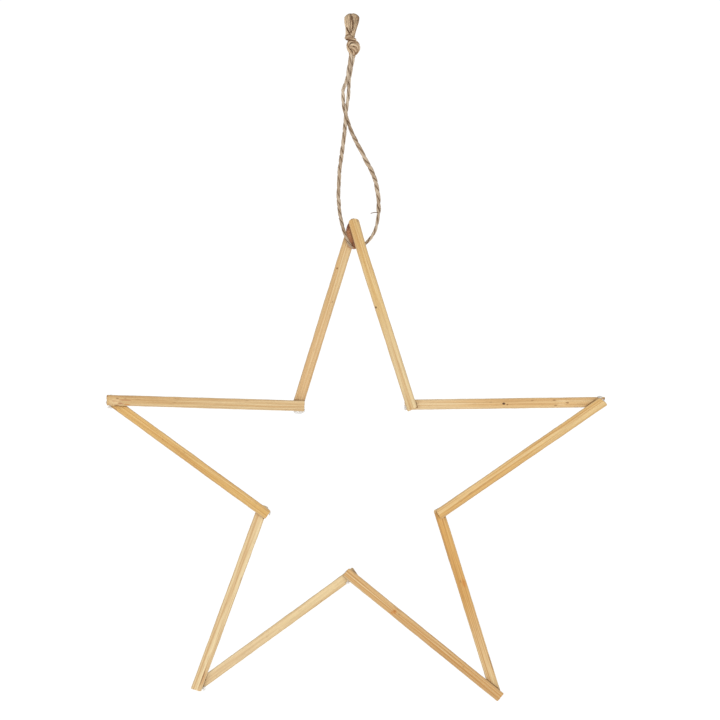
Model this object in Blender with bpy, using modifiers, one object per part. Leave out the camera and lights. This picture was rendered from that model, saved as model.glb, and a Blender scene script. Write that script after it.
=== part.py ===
"""A hanging star: flat bamboo slats glued where they cross, on a knotted loop of jute twine.

The star lies in the XZ plane and faces -Y. The origin is the hang point, at the top of the twine's
open loop, where a nail or hook carries the star. Lengths are in metres, and +Z is up.
"""

import math
from collections import namedtuple

import bmesh
import bpy
from mathutils import Matrix, Vector

# Outline, from the star's centre to where the slats' centre lines cross
POINT_RADIUS = 0.1545
CORNER_RADIUS = 0.0567
CENTRE_DROP = 0.2124  # the star's centre below the hang point
CENTRE_SHIFT = 0.0022  # and to its right

# Bamboo slats
SLAT_WIDTH = 0.0062
SLAT_THICKNESS = 0.0022
GLUE_LINE = 0.0003  # between two slats where they cross
EDGE_ROUND = 0.00035
SNIPPED_CORNER = 0.0007  # corner radius of an end, seen from the front
WORN_CORNER = 0.0018
LAP_LENGTH = 0.012  # what stays straight beside a crossing on a slat that changes layers
BEND_CUTS = 16

# Jute twine
TWINE_DIAMETER = 0.0021
TWINE_CLEARANCE = 0.0003
TWINE_STEP = 2.4  # diameters between two points of the tube

# Overhand knot above the loop
KNOT_CENTRE = Vector((0.0032, 0, 0.0473))
KNOT_CORE = Vector((0.0031, 0.0026, 0.0032))  # half sizes
KNOT_TURN_RADIUS = 0.0025
COLLAR_CENTRE = Vector((0.0015, 0, 0.0531))
COLLAR_RADIUS = 0.0019
COLLAR_TILT = 10
NECK_RADIUS = 0.0019

# Frayed ends above the knot
END_LENGTH = 0.0131
END_FOOT_RADIUS = 0.00115
END_TOP_RADIUS = 0.00185
END_TUFTS = 5
END_RAGGED = 0.0007  # how unevenly the fibres end

# Colours, as linear values
STRAW = (0.78, 0.55, 0.25, 1)
HONEY = (0.68, 0.38, 0.12, 1)
GOLDEN = (0.72, 0.46, 0.17, 1)
JUTE = (0.42, 0.29, 0.16, 1)

FRONT = -1
BACK = 1

# How far a hand-made crossing lies from its even place: degrees clockwise, and metres outwards
Crossing = namedtuple("Crossing", "turn out")
POINTS = (
    Crossing(0.4, -0.0005),
    Crossing(0.4, 0.0030),
    Crossing(1.8, -0.0006),
    Crossing(1.0, -0.0004),
    Crossing(0.6, -0.0015),
)
CORNERS = (
    Crossing(1.6, 0.0015),
    Crossing(2.1, -0.0005),
    Crossing(1.0, -0.0004),
    Crossing(0.2, 0.0001),
    Crossing(0.4, -0.0008),
)

# A slat's end: its layer, how far it runs past the crossing, the skew of its cut in degrees (with
# the outer corner further out where positive), and its corner radius
End = namedtuple("End", "layer past skew corner")
Slat = namedtuple("Slat", "name extra_width start end colour")

# The slats in order, clockwise from the top point
SLATS = (
    Slat(
        "slat_top_right",
        0.0000,
        End(FRONT, 0.0036, 0, WORN_CORNER),
        End(FRONT, 0.0035, -10, SNIPPED_CORNER),
        GOLDEN,
    ),
    Slat(
        "slat_right_upper",
        -0.0001,
        End(BACK, 0.0038, 0, SNIPPED_CORNER),
        End(BACK, 0.0022, 0, SNIPPED_CORNER),
        STRAW,
    ),
    Slat(
        "slat_right_lower",
        0.0002,
        End(FRONT, 0.0021, 0, SNIPPED_CORNER),
        End(FRONT, 0.0016, 4, SNIPPED_CORNER),
        GOLDEN,
    ),
    Slat(
        "slat_foot_right_outer",
        0.0000,
        End(BACK, 0.0032, -6, WORN_CORNER),
        End(BACK, 0.0006, 0, SNIPPED_CORNER),
        HONEY,
    ),
    Slat(
        "slat_foot_right_inner",
        -0.0001,
        End(FRONT, 0.0037, 0, SNIPPED_CORNER),
        End(FRONT, 0.0037, -8, SNIPPED_CORNER),
        HONEY,
    ),
    Slat(
        "slat_foot_left_inner",
        -0.0001,
        End(BACK, 0.0035, 0, SNIPPED_CORNER),
        End(BACK, -0.0015, 0, SNIPPED_CORNER),
        STRAW,
    ),
    Slat(
        "slat_foot_left_outer",
        0.0002,
        End(FRONT, 0.0022, 3, SNIPPED_CORNER),
        End(BACK, 0.0033, 0, SNIPPED_CORNER),
        STRAW,
    ),
    Slat(
        "slat_left_lower",
        -0.0001,
        End(FRONT, 0.0047, 0, SNIPPED_CORNER),
        End(BACK, 0.0010, 0, SNIPPED_CORNER),
        HONEY,
    ),
    Slat(
        "slat_left_upper",
        0.0001,
        End(FRONT, 0.0020, 2, SNIPPED_CORNER),
        End(FRONT, 0.0042, 0, SNIPPED_CORNER),
        STRAW,
    ),
    Slat(
        "slat_top_left",
        0.0003,
        End(BACK, 0.0039, 0, WORN_CORNER),
        End(BACK, 0.0004, 0, WORN_CORNER),
        STRAW,
    ),
)

# The twine's route in millimetres: across, depth as a share of the strands' offset, and up. The
# upper lists are measured from the hang point, and the one through the star from its top crossing.
STRAND_OFFSET = (TWINE_DIAMETER + TWINE_CLEARANCE) / 2
LEFT_STRAND = (
    (3.4, 0.85, 42.9),
    (2.6, 1.00, 38.4),
    (1.7, 1.00, 33.6),
    (1.1, 1.00, 29.4),
    (0.8, 0.75, 25.8),
    (0.7, 0.25, 22.2),
    (0.5, -0.35, 18.0),
    (-0.2, -0.85, 14.1),
    (-1.0, -1.03, 10.8),
    (-1.4, -1.03, 7.2),
    (-1.7, -0.75, 3.6),
    (-2.0, -0.25, -1.8),
    (-2.8, 0.00, -8.4),
    (-4.0, 0.10, -17.4),
    (-5.1, 0.05, -25.8),
    (-5.6, -0.05, -34.2),
    (-5.8, -0.10, -42.0),
    (-5.2, -0.20, -49.2),
)
THROUGH_STAR = (
    (-7.6, -0.50, 3.4),
    (-6.1, -1.00, -2.8),
    (-4.3, -1.05, -8.2),
    (-2.2, -1.05, -12.8),
    (-0.8, -0.90, -15.6),
    (0.4, 0.00, -16.6),
    (1.6, 0.95, -16.5),
    (3.8, 1.08, -15.2),
    (6.6, 1.05, -12.4),
    (9.3, 0.75, -10.0),
    (11.7, 0.35, -7.0),
    (13.6, 0.10, -3.1),
)
RIGHT_STRAND = (
    (18.1, 0.00, -55.8),
    (18.8, -0.05, -49.8),
    (18.4, -0.10, -42.6),
    (17.0, -0.10, -34.5),
    (14.5, -0.05, -27.0),
    (11.3, 0.00, -20.7),
    (7.7, 0.00, -13.8),
    (4.1, 0.05, -7.2),
    (1.9, 0.25, -1.9),
    (0.8, 0.60, 1.5),
    (0.0, 0.90, 4.9),
    (-0.7, 1.03, 8.4),
    (-1.6, 1.00, 11.7),
    (-2.4, 0.65, 15.3),
    (-2.8, 0.10, 18.9),
    (-2.8, -0.50, 22.5),
    (-2.0, -0.90, 25.8),
    (-0.6, -1.00, 29.7),
    (0.5, -1.00, 33.9),
    (1.1, -1.00, 38.1),
    (1.5, -0.90, 42.9),
)
MILLIMETRE = 0.001


def clear_scene():
    for old in list(bpy.data.objects):
        bpy.data.objects.remove(old, do_unlink=True)


def new_collection(name):
    collection = bpy.data.collections.new(name)
    bpy.context.scene.collection.children.link(collection)
    return collection


def new_material(name, colour, roughness):
    material = bpy.data.materials.new(name)
    material.use_nodes = True
    shader = material.node_tree.nodes["Principled BSDF"]
    shader.inputs["Base Color"].default_value = colour
    shader.inputs["Roughness"].default_value = roughness
    shader.inputs["Metallic"].default_value = 0
    material.diffuse_color = colour
    return material


def new_object(name, data, collection, colour, roughness):
    obj = bpy.data.objects.new(name, data)
    collection.objects.link(obj)
    data.materials.append(new_material(name, colour, roughness))
    return obj


def mesh_from(bm, name):
    bm.normal_update()
    mesh = bpy.data.meshes.new(name)
    bm.to_mesh(mesh)
    bm.free()
    return mesh


def crossing_places():
    """The crossings from the star's centre, clockwise from the top: a point, a corner, and so on."""
    places = []
    step = math.tau / (2 * len(POINTS))
    for index, (point, corner) in enumerate(zip(POINTS, CORNERS)):
        for half_step, radius, crossing in ((0, POINT_RADIUS, point), (1, CORNER_RADIUS, corner)):
            angle = (2 * index + half_step) * step + math.radians(crossing.turn)
            reach = radius + crossing.out
            places.append(Vector((reach * math.sin(angle), 0, reach * math.cos(angle))))
    return places


def smooth_step(share):
    share = min(max(share, 0), 1)
    return share * share * (3 - 2 * share)


def slat_mesh(slat, span):
    """A slat along local X between two crossings a span apart, with local Z across it."""
    bm = bmesh.new()
    bmesh.ops.create_cube(bm, size=1)
    width = SLAT_WIDTH + slat.extra_width
    for vert in bm.verts:
        end, sign = (slat.end, 1) if vert.co.x > 0 else (slat.start, -1)
        across = vert.co.z * width
        reach = span / 2 + end.past + across * math.tan(math.radians(end.skew))
        vert.co = Vector((sign * reach, vert.co.y * SLAT_THICKNESS, across))
    for end, sign in ((slat.start, -1), (slat.end, 1)):
        through_edges = [
            edge
            for edge in bm.edges
            if all(vert.co.x * sign > 0 for vert in edge.verts)
            and abs(edge.verts[0].co.y - edge.verts[1].co.y) > SLAT_THICKNESS / 2
        ]
        bmesh.ops.bevel(
            bm, geom=through_edges, offset=end.corner, segments=3, profile=0.5, affect="EDGES"
        )
    layer_depth = (SLAT_THICKNESS + GLUE_LINE) / 2
    bent_length = span - 2 * LAP_LENGTH
    if slat.start.layer != slat.end.layer:
        for cut in range(BEND_CUTS + 1):
            place = Vector((bent_length * (cut / BEND_CUTS - 0.5), 0, 0))
            everything = bm.verts[:] + bm.edges[:] + bm.faces[:]
            bmesh.ops.bisect_plane(bm, geom=everything, plane_co=place, plane_no=(1, 0, 0))
    for vert in bm.verts:
        share = smooth_step(vert.co.x / bent_length + 0.5)
        layer = slat.start.layer * (1 - share) + slat.end.layer * share
        vert.co.y += layer * layer_depth
    return mesh_from(bm, slat.name)


def round_edges(obj):
    bevel = obj.modifiers.new("Rounded edges", "BEVEL")
    bevel.width = EDGE_ROUND
    bevel.segments = 2
    bevel.limit_method = "ANGLE"
    bevel.angle_limit = math.radians(45)
    obj.data.shade_smooth()
    obj.data.set_sharp_from_angle(angle=math.radians(50))


def add_slats(collection, centre):
    places = crossing_places()
    for index, slat in enumerate(SLATS):
        start = places[index]
        end = places[(index + 1) % len(places)]
        run = end - start
        obj = new_object(slat.name, slat_mesh(slat, run.length), collection, slat.colour, 0.55)
        obj.parent = centre
        obj.location = (start + end) / 2
        obj.rotation_euler = (0, -math.atan2(run.z, run.x), 0)
        round_edges(obj)


def twine_route(top_crossing):
    """The route's own points, from the knot down the left strand, through the star and back up."""
    route = []
    for points, start in (
        (LEFT_STRAND, Vector()),
        (THROUGH_STAR, top_crossing),
        (RIGHT_STRAND, Vector()),
    ):
        for across, depth, up in points:
            offset = Vector((across * MILLIMETRE, depth * STRAND_OFFSET, up * MILLIMETRE))
            route.append(start + offset)
    return route


def smooth_points(route, step):
    """Points about a step apart on the smooth curve through the route's points."""
    padded = [2 * route[0] - route[1], *route, 2 * route[-1] - route[-2]]
    points = [route[0]]
    for before, start, end, after in zip(padded, padded[1:], padded[2:], padded[3:]):
        count = max(1, round((end - start).length / step))
        for index in range(1, count + 1):
            t = index / count
            points.append(
                (
                    2 * start
                    + (end - before) * t
                    + (2 * before - 5 * start + 4 * end - after) * t**2
                    + (3 * start - before - 3 * end + after) * t**3
                )
                / 2
            )
    return points


def add_twine_loop(collection, top_crossing):
    points = smooth_points(twine_route(top_crossing), TWINE_STEP * TWINE_DIAMETER)
    curve = bpy.data.curves.new("twine_loop", "CURVE")
    curve.dimensions = "3D"
    curve.bevel_depth = TWINE_DIAMETER / 2
    curve.bevel_resolution = 2
    curve.use_fill_caps = True
    spline = curve.splines.new("POLY")
    spline.points.add(len(points) - 1)
    for spline_point, point in zip(spline.points, points):
        spline_point.co = (*point, 1)
    new_object("twine_loop", curve, collection, JUTE, 0.9)


def add_helper(obj, name, helpers):
    obj.name = name
    for old in obj.users_collection:
        old.objects.unlink(obj)
    helpers.objects.link(obj)
    obj.hide_render = True
    obj.display_type = "WIRE"


def twine_turn(name, helpers, place, tilt, radius):
    """One turn of twine, as a ring around the vertical that is then tilted."""
    bpy.ops.mesh.primitive_torus_add(
        major_radius=radius,
        minor_radius=TWINE_DIAMETER / 2,
        major_segments=28,
        minor_segments=10,
        location=place,
        rotation=[math.radians(angle) for angle in tilt],
    )
    turn = bpy.context.object
    add_helper(turn, name, helpers)
    return turn


def add_knot(collection, helpers):
    """The knot: its packed core, the turns of twine round it, and the collar under the ends."""
    bm = bmesh.new()
    bmesh.ops.create_uvsphere(bm, u_segments=24, v_segments=14, radius=1)
    bmesh.ops.scale(bm, vec=KNOT_CORE, verts=bm.verts)
    knot = new_object("twine_knot", mesh_from(bm, "twine_knot"), collection, JUTE, 0.9)
    knot.location = KNOT_CENTRE

    neck_run = COLLAR_CENTRE - KNOT_CENTRE
    bm = bmesh.new()
    bmesh.ops.create_cone(
        bm,
        cap_ends=True,
        segments=20,
        radius1=NECK_RADIUS,
        radius2=NECK_RADIUS,
        depth=neck_run.length,
        matrix=neck_run.to_track_quat("Z", "Y").to_matrix().to_4x4(),
    )
    neck = bpy.data.objects.new("knot_neck", mesh_from(bm, "knot_neck"))
    neck.location = KNOT_CENTRE + neck_run * 0.62
    add_helper(neck, "knot_neck", helpers)

    low = KNOT_CENTRE + Vector((0.0004, 0, -0.0014))
    high = KNOT_CENTRE + Vector((-0.0003, 0, 0.0015))
    turns = (
        twine_turn("knot_low_turn", helpers, low, (8, 28, 0), KNOT_TURN_RADIUS),
        twine_turn("knot_high_turn", helpers, high, (-6, -20, 0), KNOT_TURN_RADIUS),
        twine_turn("knot_cross_turn", helpers, KNOT_CENTRE, (62, 38, 0), KNOT_TURN_RADIUS),
        twine_turn("knot_collar", helpers, COLLAR_CENTRE, (5, COLLAR_TILT, 0), COLLAR_RADIUS),
    )
    for shape in (neck, *turns):
        union = knot.modifiers.new(shape.name, "BOOLEAN")
        union.operation = "UNION"
        union.object = shape
    knot.data.shade_smooth()
    knot.data.set_sharp_from_angle(angle=math.radians(50))


def frayed_end_mesh(name, phase):
    """An end of the twine that opens into tufts of fibre towards its ragged top."""
    bm = bmesh.new()
    bmesh.ops.create_cone(
        bm,
        cap_ends=True,
        segments=4 * END_TUFTS,
        radius1=END_FOOT_RADIUS,
        radius2=END_FOOT_RADIUS,
        depth=END_LENGTH,
        matrix=Matrix.Translation((0, 0, END_LENGTH / 2)),
    )
    for share in (0.2, 0.4, 0.6, 0.8, 0.94):
        place = Vector((0, 0, END_LENGTH * share))
        everything = bm.verts[:] + bm.edges[:] + bm.faces[:]
        bmesh.ops.bisect_plane(bm, geom=everything, plane_co=place, plane_no=(0, 0, 1))
    for vert in bm.verts:
        share = vert.co.z / END_LENGTH
        angle = math.atan2(vert.co.y, vert.co.x)
        tuft = math.cos(END_TUFTS * angle + phase)
        opening = END_FOOT_RADIUS + (END_TOP_RADIUS - END_FOOT_RADIUS) * smooth_step(1.1 * share)
        radius = opening * (1 - 0.08 * share * (1 - tuft))
        if share > 0.99:
            radius *= 0.8
            vert.co.z -= END_RAGGED * (1 + math.cos(2 * angle + phase)) / 2
        vert.co.x = radius * math.cos(angle)
        vert.co.y = radius * math.sin(angle)
    return mesh_from(bm, name)


def add_frayed_ends(collection):
    foot_height = COLLAR_CENTRE.z + TWINE_DIAMETER / 2 + COLLAR_RADIUS * math.sin(
        math.radians(COLLAR_TILT)
    )
    spread = END_FOOT_RADIUS + TWINE_CLEARANCE / 2
    lean = math.atan2(END_TOP_RADIUS - END_FOOT_RADIUS, END_LENGTH)
    for name, side, phase in (("twine_end_left", -1, 0.4), ("twine_end_right", 1, 2.1)):
        end = new_object(name, frayed_end_mesh(name, phase), collection, JUTE, 0.95)
        end.location = (
            COLLAR_CENTRE.x + side * spread,
            side * TWINE_CLEARANCE,
            foot_height + TWINE_CLEARANCE,
        )
        end.rotation_euler = (0, lean * (1.15 * side + 0.75), 0)
        end.data.shade_smooth()
        end.data.set_sharp_from_angle(angle=math.radians(50))


def main():
    clear_scene()
    collection = new_collection("Hanging star")
    helpers = new_collection("Knot shapes")
    centre = bpy.data.objects.new("star_centre", None)
    centre.location = (CENTRE_SHIFT, 0, -CENTRE_DROP)
    collection.objects.link(centre)
    add_slats(collection, centre)
    add_twine_loop(collection, centre.location + crossing_places()[0])
    add_knot(collection, helpers)
    add_frayed_ends(collection)


main()
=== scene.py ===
"""A hanging star of ten flat bamboo slats, glued where they cross, on a knotted loop of jute twine.

Lengths are in metres. The star lies in the XZ plane and faces -Y. The origin is the hang point, at
the top of the twine's open loop.
"""

import math
from collections import namedtuple

import bpy
import numpy as np
from mathutils import Matrix, Vector


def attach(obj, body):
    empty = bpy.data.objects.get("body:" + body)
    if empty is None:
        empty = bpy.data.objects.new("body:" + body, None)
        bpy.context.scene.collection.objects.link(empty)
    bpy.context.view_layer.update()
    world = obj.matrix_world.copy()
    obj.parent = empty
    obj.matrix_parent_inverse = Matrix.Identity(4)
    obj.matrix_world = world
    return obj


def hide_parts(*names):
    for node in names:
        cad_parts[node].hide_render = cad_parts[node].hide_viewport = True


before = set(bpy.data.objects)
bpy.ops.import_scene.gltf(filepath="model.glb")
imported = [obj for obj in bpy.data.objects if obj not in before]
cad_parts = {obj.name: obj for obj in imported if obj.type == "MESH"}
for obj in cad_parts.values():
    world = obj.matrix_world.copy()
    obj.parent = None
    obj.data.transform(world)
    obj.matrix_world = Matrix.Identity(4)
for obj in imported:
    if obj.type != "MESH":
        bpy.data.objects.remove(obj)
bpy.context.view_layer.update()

# The slats
# Each is a strip of split bamboo about 6 mm wide and 2 mm thick, snipped to length by hand. They
# lie in two layers, and two of them bend from one layer to the other. Edges and ends are left
# uneven, and the fibres show as long straight streaks.

MM = 0.001
POINT_RADIUS = 154.5 * MM
CORNER_RADIUS = 56.7 * MM
STAR_CENTRE = Vector((2.2 * MM, 0, -212.4 * MM))
THICKNESS = 2.2 * MM
LAYER_DEPTH = 1.25 * MM  # from the middle of the star to the middle of a layer
LAP_LENGTH = 12 * MM
EDGE_ROUND = 0.3 * MM
BENT_ASIDE = 24 * MM  # how long the stretch is where an end bends aside
SPLINTERED = 3.5 * MM  # how far in from its end a slat is skewed and splintered
FACE_HOLLOW = 0.06 * MM  # how much a face is hollowed in its middle
FACE_INSET = 0.03 * MM  # how far the ridged faces lie under the slat's full thickness
END_INSET = 0.12 * MM  # how far the splintered ends lie short of the slat's full length
CUT_GRAIN = 0.05 * MM  # how rough a cut end is
STATION = 0.75 * MM  # between two rings of a slat's mesh
FRONT, BACK = -1, 1
SNIPPED, WORN = 0.7 * MM, 1.5 * MM

# Degrees clockwise and millimetres outwards from the even place of each point and inner corner
POINTS = ((0.4, -0.5), (0.4, 3.0), (1.8, -0.6), (1.0, -0.4), (0.6, -1.5))
CORNERS = ((1.6, 1.5), (2.1, -0.5), (1.0, -0.4), (0.2, 0.1), (0.4, -0.8))

# An end's layer, millimetres past the crossing, skew of its cut in degrees, corner radius, and how
# many millimetres the last stretch bends aside
End = namedtuple("End", "layer past skew corner aside", defaults=(0, SNIPPED, 0))
# Tones are the colour at the start and the end, and the share of the length where they change. The
# streak is how strongly the dark streaks show.
Slat = namedtuple("Slat", "place slot width start end tones streak flecks")


def paint(red, green, blue):
    """A colour seen as these 8-bit values, as the linear RGBA that a shader takes."""
    parts = [value / 255 for value in (red, green, blue)]
    return (*[p / 12.92 if p < 0.04045 else ((p + 0.055) / 1.055) ** 2.4 for p in parts], 1)


PALE_FIBRE = paint(240, 214, 168)
TAN_STREAK = paint(206, 148, 78)
DARK_LINE = paint(184, 130, 66)
# dark brown for scorch marks, and for painted shade on a corner beside a slat glued over it
SCORCH_AND_SHADE = paint(80, 48, 28)
FLECK = paint(138, 92, 50)
# the colour of the painted shade along a slat's rounded edges
EDGE_SHADE = paint(186, 158, 118)
CUT_END = paint(196, 160, 110)
# the colour of the painted shadow along the edges of a slat that is glued over another
JOINT_SHADOW = paint(136, 92, 46)
RED_STAIN_AND_SHADE = paint(176, 116, 78)
ORANGE_MARK = paint(196, 122, 44)
WORN_RIM = paint(150, 118, 88)

# Flecks: millimetres along from the slat's middle and across, length, width, strength, and a colour
# where it isn't brown
SLATS = (
    Slat(
        "top_right", "golden_bamboo", 6.23,
        End(FRONT, 3.7, -6, 2.6 * MM, 0.7), End(FRONT, 3, -10),
        ((216, 184, 124), (217, 193, 146), 0.56), 0.75,
        (
            (-5.3, -2.3, 1.5, 1.1, 1, SCORCH_AND_SHADE), (31, 0.6, 3, 0.5, 0.25),
            (-60.4, 0, 1.3, 9, 0.65, WORN_RIM), (-58.4, -2.8, 3.2, 1.5, 0.7, WORN_RIM),
            (-58.2, 2.9, 2.6, 1.1, 0.6, WORN_RIM),
        ),
    ),
    Slat(
        "right_upper", "straw_bamboo", 6.13, End(BACK, 3.8), End(BACK, 0.9, 22),
        ((225, 198, 152), (222, 189, 136), 0.3), 0.6,
        (
            (-1.6, -0.15, 2.2, 1.5, 1, SCORCH_AND_SHADE), (0.5, -0.7, 1.3, 1.1, 0.9),
            (-9.5, 0.9, 2.6, 0.6, 0.4), (15.5, 1.5, 2.2, 0.8, 0.55), (28.8, 1.55, 2.6, 1, 0.65),
            (29.5, -1.6, 2, 1, 0.6), (36.6, -0.1, 2.6, 1.1, 0.7), (-6, -1.2, 5, 0.35, 0.3),
            (33.5, 1, 9, 1.2, 0.5, PALE_FIBRE), (33, -1, 6, 1, 0.45, PALE_FIBRE),
            # painted shade on this slat's end-grain corner, beside the slat glued over it
            (59.5, 1.6, 3.4, 2.6, 0.7, SCORCH_AND_SHADE),
        ),
    ),
    Slat(
        "right_lower", "golden_bamboo", 6.36, End(FRONT, 1.2, 14), End(FRONT, 1, 4),
        ((217, 182, 120), (217, 178, 113), 0.45), 0.8,
        ((37, 0.2, 3.4, 0.6, 0.4), (-31, 1, 4, 0.4, 0.3), (44, 1.2, 2.2, 0.5, 0.3)),
    ),
    Slat(
        "foot_right_outer", "honey_bamboo", 6.2, End(BACK, 3.2, -6, WORN), End(BACK, 0.6),
        ((215, 171, 100), (229, 204, 154), 0.62), 1.1,
        (
            (-12.5, 1.4, 6.5, 2.4, 0.6, ORANGE_MARK), (-14, -0.2, 2.4, 0.7, 0.6),
            (16, 0.4, 2, 0.5, 0.3), (38, 2.6, 14, 0.8, 0.6), (12, -2.4, 12, 0.4, 0.3),
            (-59.2, 0, 3.8, 8, 0.7, PALE_FIBRE),
        ),
    ),
    Slat(
        "foot_right_inner", "honey_bamboo", 6.07, End(FRONT, 3.7), End(FRONT, 3.5, -3, WORN),
        ((203, 163, 108), (213, 179, 127), 0.66), 1.25,
        (
            (22, 0, 3, 2.6, 0.75, ORANGE_MARK), (22.8, 1.6, 2.2, 1.3, 0.7, ORANGE_MARK),
            (22, -0.2, 1.2, 0.8, 0.6), (18.6, -0.3, 1.8, 0.9, 0.5), (-31, -0.2, 1.4, 0.9, 0.5),
            (21.5, -2.1, 8, 0.8, 0.45), (-20, -0.9, 5, 0.3, 0.3),
        ),
    ),
    Slat(
        "foot_left_inner", "straw_bamboo", 6.02, End(BACK, 4), End(BACK, -1.5),
        ((225, 200, 152), (227, 203, 159), 0.5), 0.35,
        (
            (-33.6, 2.2, 1.6, 0.5, 0.5), (5.4, 0.5, 1.2, 0.5, 0.35), (3, -1.3, 1.6, 0.4, 0.3),
            (-60.3, 0, 2.2, 7, 0.7, WORN_RIM),
        ),
    ),
    Slat(
        "foot_left_outer", "straw_bamboo", 6.37, End(FRONT, 2.2, 3), End(BACK, 3.3),
        ((230, 208, 163), (229, 207, 162), 0.5), 0.7,
        (
            (-50, -1.4, 12, 0.6, 0.5), (-38, -0.3, 7, 0.5, 0.3), (13, -2.6, 5, 0.5, 0.5),
            (-49.5, -1.1, 14, 0.55, 0.8), (-50.5, -2.2, 10, 1.2, 0.35, ORANGE_MARK),
            (-44, 0.5, 8, 0.5, 0.4),
        ),
    ),
    Slat(
        "left_lower", "honey_bamboo", 6, End(FRONT, 4.7), End(BACK, 1),
        ((217, 178, 109), (218, 178, 110), 0.5), 0.66,
        ((16.7, 0.6, 1.8, 0.8, 0.3), (50.6, 2.4, 4, 0.7, 0.6), (2, -1, 3, 0.5, 0.3)),
    ),
    Slat(
        "left_upper", "straw_bamboo", 6.33, End(FRONT, 2, 2), End(FRONT, 4.2),
        ((208, 177, 127), (210, 181, 134), 0.5), 0.6,
        (
            (-15.6, 1.9, 5, 0.5, 0.5), (-47, 1.2, 2.2, 0.7, 0.4), (26, 2.1, 3, 0.6, 0.4),
            (-17.5, -0.3, 3, 0.5, 0.4), (-40, 0.9, 4, 0.4, 0.35),
            (-53, -0.9, 8, 4.4, 0.4, PALE_FIBRE), (-51.8, 1.2, 2, 0.9, 0.7),
            (-47, 0.3, 9, 0.7, 0.8, RED_STAIN_AND_SHADE), (-53.5, -0.4, 4, 0.7, 0.8, RED_STAIN_AND_SHADE),
            (-50, -1.7, 4, 0.8, 0.9, RED_STAIN_AND_SHADE), (-52.2, -2.9, 3.4, 0.9, 0.8),
            (-50.5, -0.9, 3, 0.6, 0.7), (-46, -2.3, 5, 0.8, 0.7, ORANGE_MARK),
            (-58, 2.4, 1.6, 1.4, 0.6), (-45, 2.3, 12, 0.6, 0.4),
        ),
    ),
    Slat(
        "top_left", "straw_bamboo", 6.5, End(BACK, 3, 0, WORN), End(BACK, 2.6, -14, WORN),
        ((213, 178, 129), (214, 184, 135), 0.5), 0.6,
        (
            (29, 1.7, 1.6, 1.2, 0.9), (8.9, -1.5, 1.7, 0.8, 0.6), (-21, 0.3, 4, 0.4, 0.3),
            # Reddish brown by the top point: partly stained, partly painted shade beside the slat
            # and twine in front
            (51.5, 0.4, 11, 7, 0.9, RED_STAIN_AND_SHADE), (46.5, -1.7, 9, 4, 0.95, RED_STAIN_AND_SHADE),
            (51, -1.5, 3, 2, 0.8), (45.5, -2.4, 4, 1.2, 0.6),
        ),
    ),
)

# Unevenness, as layers of smooth noise: each one's height in millimetres, and its cells across and
# along
EDGE_WAVER = ((0.07, 1, 14), (0.03, 1, 60))
FACE_RIDGES = ((0.030, 16, 9), (0.018, 30, 40))
SIDE_RIDGES = ((0.04, 5, 70),)
JAGGED_END = ((0.16, 9, 1),)
END_SPLINTERS = ((0.09, 24, 3),)
CAP_SIZES = (0.86, 0.66, 0.42, 0.15)  # shares of a cut end's size, for the rings that close it


def smooth_step(share):
    share = np.clip(share, 0, 1)
    return share * share * (3 - 2 * share)


def uneven(rng, across, along, layers):
    """Smooth noise over shares across and along, up to the layers' heights up and down."""
    total = 0
    for height, cells_across, cells_along in layers:
        grid = rng.uniform(-1, 1, (cells_across + 2, cells_along + 2))
        u = np.clip(across, 0, 1) * cells_across
        v = np.clip(along, 0, 1) * cells_along
        i, j = np.floor(u).astype(int), np.floor(v).astype(int)
        fu, fv = smooth_step(u - i), smooth_step(v - j)
        low = grid[i, j] * (1 - fv) + grid[i, j + 1] * fv
        high = grid[i + 1, j] * (1 - fv) + grid[i + 1, j + 1] * fv
        total = total + height * MM * (low * (1 - fu) + high * fu)
    return total


def crossing_places():
    """The ten places where slats cross, clockwise from the top point."""
    places = []
    for index in range(5):
        for half, radius, (turn, out) in (
            (0, POINT_RADIUS, POINTS[index]),
            (1, CORNER_RADIUS, CORNERS[index]),
        ):
            angle = (2 * index + half) * math.pi / 5 + math.radians(turn)
            way = Vector((math.sin(angle), 0, math.cos(angle)))
            places.append(STAR_CENTRE + (radius + out * MM) * way)
    return places


def slat_section():
    """The outline across a slat: shares of its flat sides, and directions at its rounded edges."""
    flat = [(share, -1, 0, -1) for share in np.linspace(-1, 1, 17)]
    corner = [(1, -1, math.sin(a), -math.cos(a)) for a in np.radians((30, 60))]
    side = [(1, share, 1, 0) for share in np.linspace(-1, 1, 5)]
    other = [(1, 1, math.cos(a), math.sin(a)) for a in np.radians((30, 60))]
    half = np.array(flat + corner + side + other, float)
    return np.concatenate([half, -half])


def faces_between_rings(rings, ring_size):
    """Quads that join rings of points in order, and one face over each end."""
    faces = []
    last = (rings - 1) * ring_size
    for base in range(0, last, ring_size):
        above = base + ring_size
        for k in range(ring_size):
            following = (k + 1) % ring_size
            faces.append((base + k, base + following, above + following, above + k))
    return [*faces, tuple(reversed(range(ring_size))), tuple(range(last, last + ring_size))]


def scene_object(name, data):
    obj = bpy.data.objects.new(name, data)
    bpy.context.scene.collection.objects.link(obj)
    return obj


def mesh_object(name, points, faces, masks):
    """A smooth-shaded object, with named values or vectors on its points."""
    mesh = bpy.data.meshes.new(name)
    mesh.from_pydata([tuple(point) for point in points], [], faces)
    for mask, values in masks.items():
        values = np.asarray(values, np.float32)
        kind, field = ("FLOAT_VECTOR", "vector") if values.ndim == 2 else ("FLOAT", "value")
        mesh.attributes.new(mask, kind, "POINT").data.foreach_set(field, values.ravel())
    mesh.validate()
    mesh.shade_smooth()
    return scene_object(name, mesh)


def layer_at(slat, along, span):
    """How far back a slat lies at a distance along it from its middle: -1 in front, 1 behind."""
    bent = smooth_step(along / (span - 2 * LAP_LENGTH) + 0.5)
    return slat.start.layer * (1 - bent) + slat.end.layer * bent


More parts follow.
